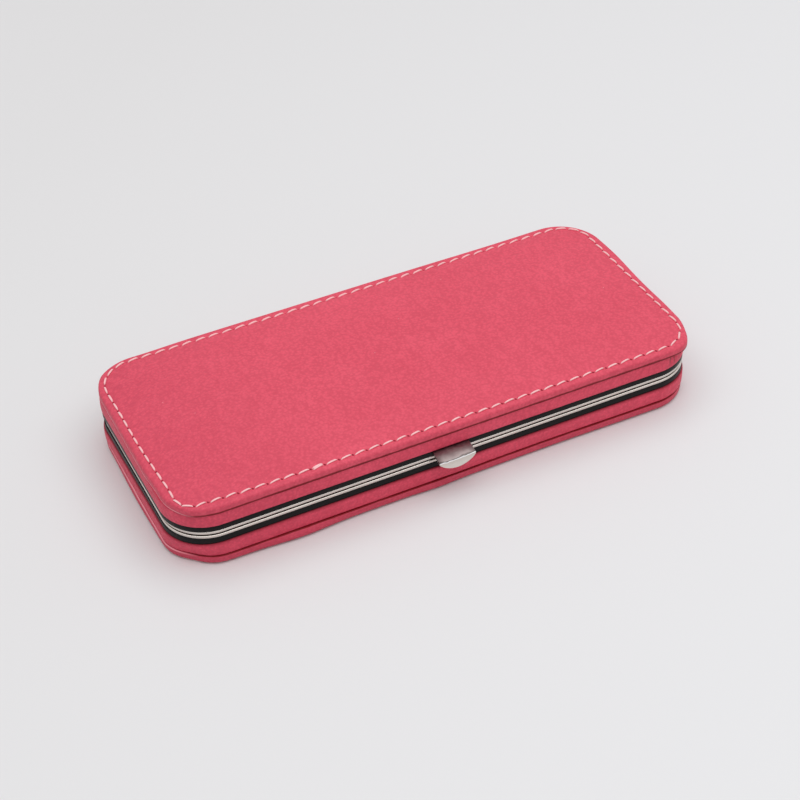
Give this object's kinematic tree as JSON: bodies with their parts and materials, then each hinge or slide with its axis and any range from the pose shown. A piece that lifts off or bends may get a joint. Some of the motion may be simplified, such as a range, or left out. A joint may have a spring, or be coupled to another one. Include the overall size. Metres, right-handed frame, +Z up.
{
  "type": "manicure set case",
  "caption": "Slim hinged case in stitched leather-look cover on framed rims, with a sprung front tab and a set of steel nail tools held by elastic straps inside.",
  "frame": {"origin": "centre of the underside, on the surface that the case stands on", "axes": "+X along the length, +Y from the latch to the hinge, +Z up through the lid"},
  "size_m": [0.15, 0.0715, 0.0202],
  "materials": {
    "cover": "satin",
    "band": "satin",
    "foam": "matt",
    "board": "matt",
    "frame": "satin",
    "rail": "gloss",
    "bright": "polished",
    "lining": "matt",
    "steel": "satin",
    "spring": "satin",
    "handle": "gloss",
    "elastic": "matt"
  },
  "bodies": {
    "base": {"base_cover": "cover", "base_foam": "foam", "base_board": "board", "base_frame": "frame", "base_side_band": "band", "base_rail": "rail", "base_rim": "bright", "base_lining": "lining", "base_hinge_leaf": "bright", "hinge_pin": "frame", "latch_keeper": "frame", "scissor_blade_fixed": "steel", "scissor_screw": "bright", "tweezers": "steel", "clipper_lower_arm": "steel", "clipper_upper_arm": "steel", "clipper_rivet": "bright", "small_clipper_lower_arm": "steel", "small_clipper_upper_arm": "steel", "small_clipper_rivet": "bright", "tool_strap": "elastic", "clipper_strap": "elastic", "strap_rivets": "bright"},
    "lid": {"lid_cover": "cover", "lid_foam": "foam", "lid_board": "board", "lid_frame": "frame", "lid_side_band": "band", "lid_rail": "rail", "lid_rim": "bright", "lid_lining": "lining", "lid_hinge_leaf": "bright", "latch_pin": "frame", "latch_spring": "spring", "latch_bracket": "frame", "file_blade": "steel", "file_handle": "handle", "cuticle_pusher": "steel", "lid_strap": "elastic", "lid_strap_rivets": "bright"},
    "latch": {"latch_tab": "bright"},
    "scissor_blade": {"scissor_blade_moving": "steel"},
    "large_lever": {"clipper_lever": "steel", "clipper_pin": "bright"},
    "small_lever": {"small_clipper_lever": "steel", "small_clipper_pin": "bright"}
  },
  "joints": [
    {"name": "lid_hinge", "type": "hinge", "parent": "base", "child": "lid", "pos_m": [0, 0.03375, 0.00982], "axis": [-1, 0, 0], "range_deg": [0, 170]},
    {"name": "latch_press", "type": "hinge", "parent": "lid", "child": "latch", "pos_m": [0, -0.0295, 0.01219], "axis": [1, 0, 0], "range_deg": [0, 12], "stiffness_Nm_per_rad": 0.02},
    {"name": "scissor_pivot", "type": "hinge", "parent": "base", "child": "scissor_blade", "pos_m": [-0.011, 0.00151, 0.0055], "axis": [0, 0, 1], "range_deg": [0, 13]},
    {"name": "clipper_lever_swivel", "type": "hinge", "parent": "base", "child": "large_lever", "pos_m": [0.057, 0.01816, 0.0085], "axis": [0, 0, 1], "range_deg": [0, 10]},
    {"name": "small_clipper_lever_swivel", "type": "hinge", "parent": "base", "child": "small_lever", "pos_m": [0.0385, 0.01498, 0.0085], "axis": [0, 0, 1], "range_deg": [0, 10]}
  ]
}
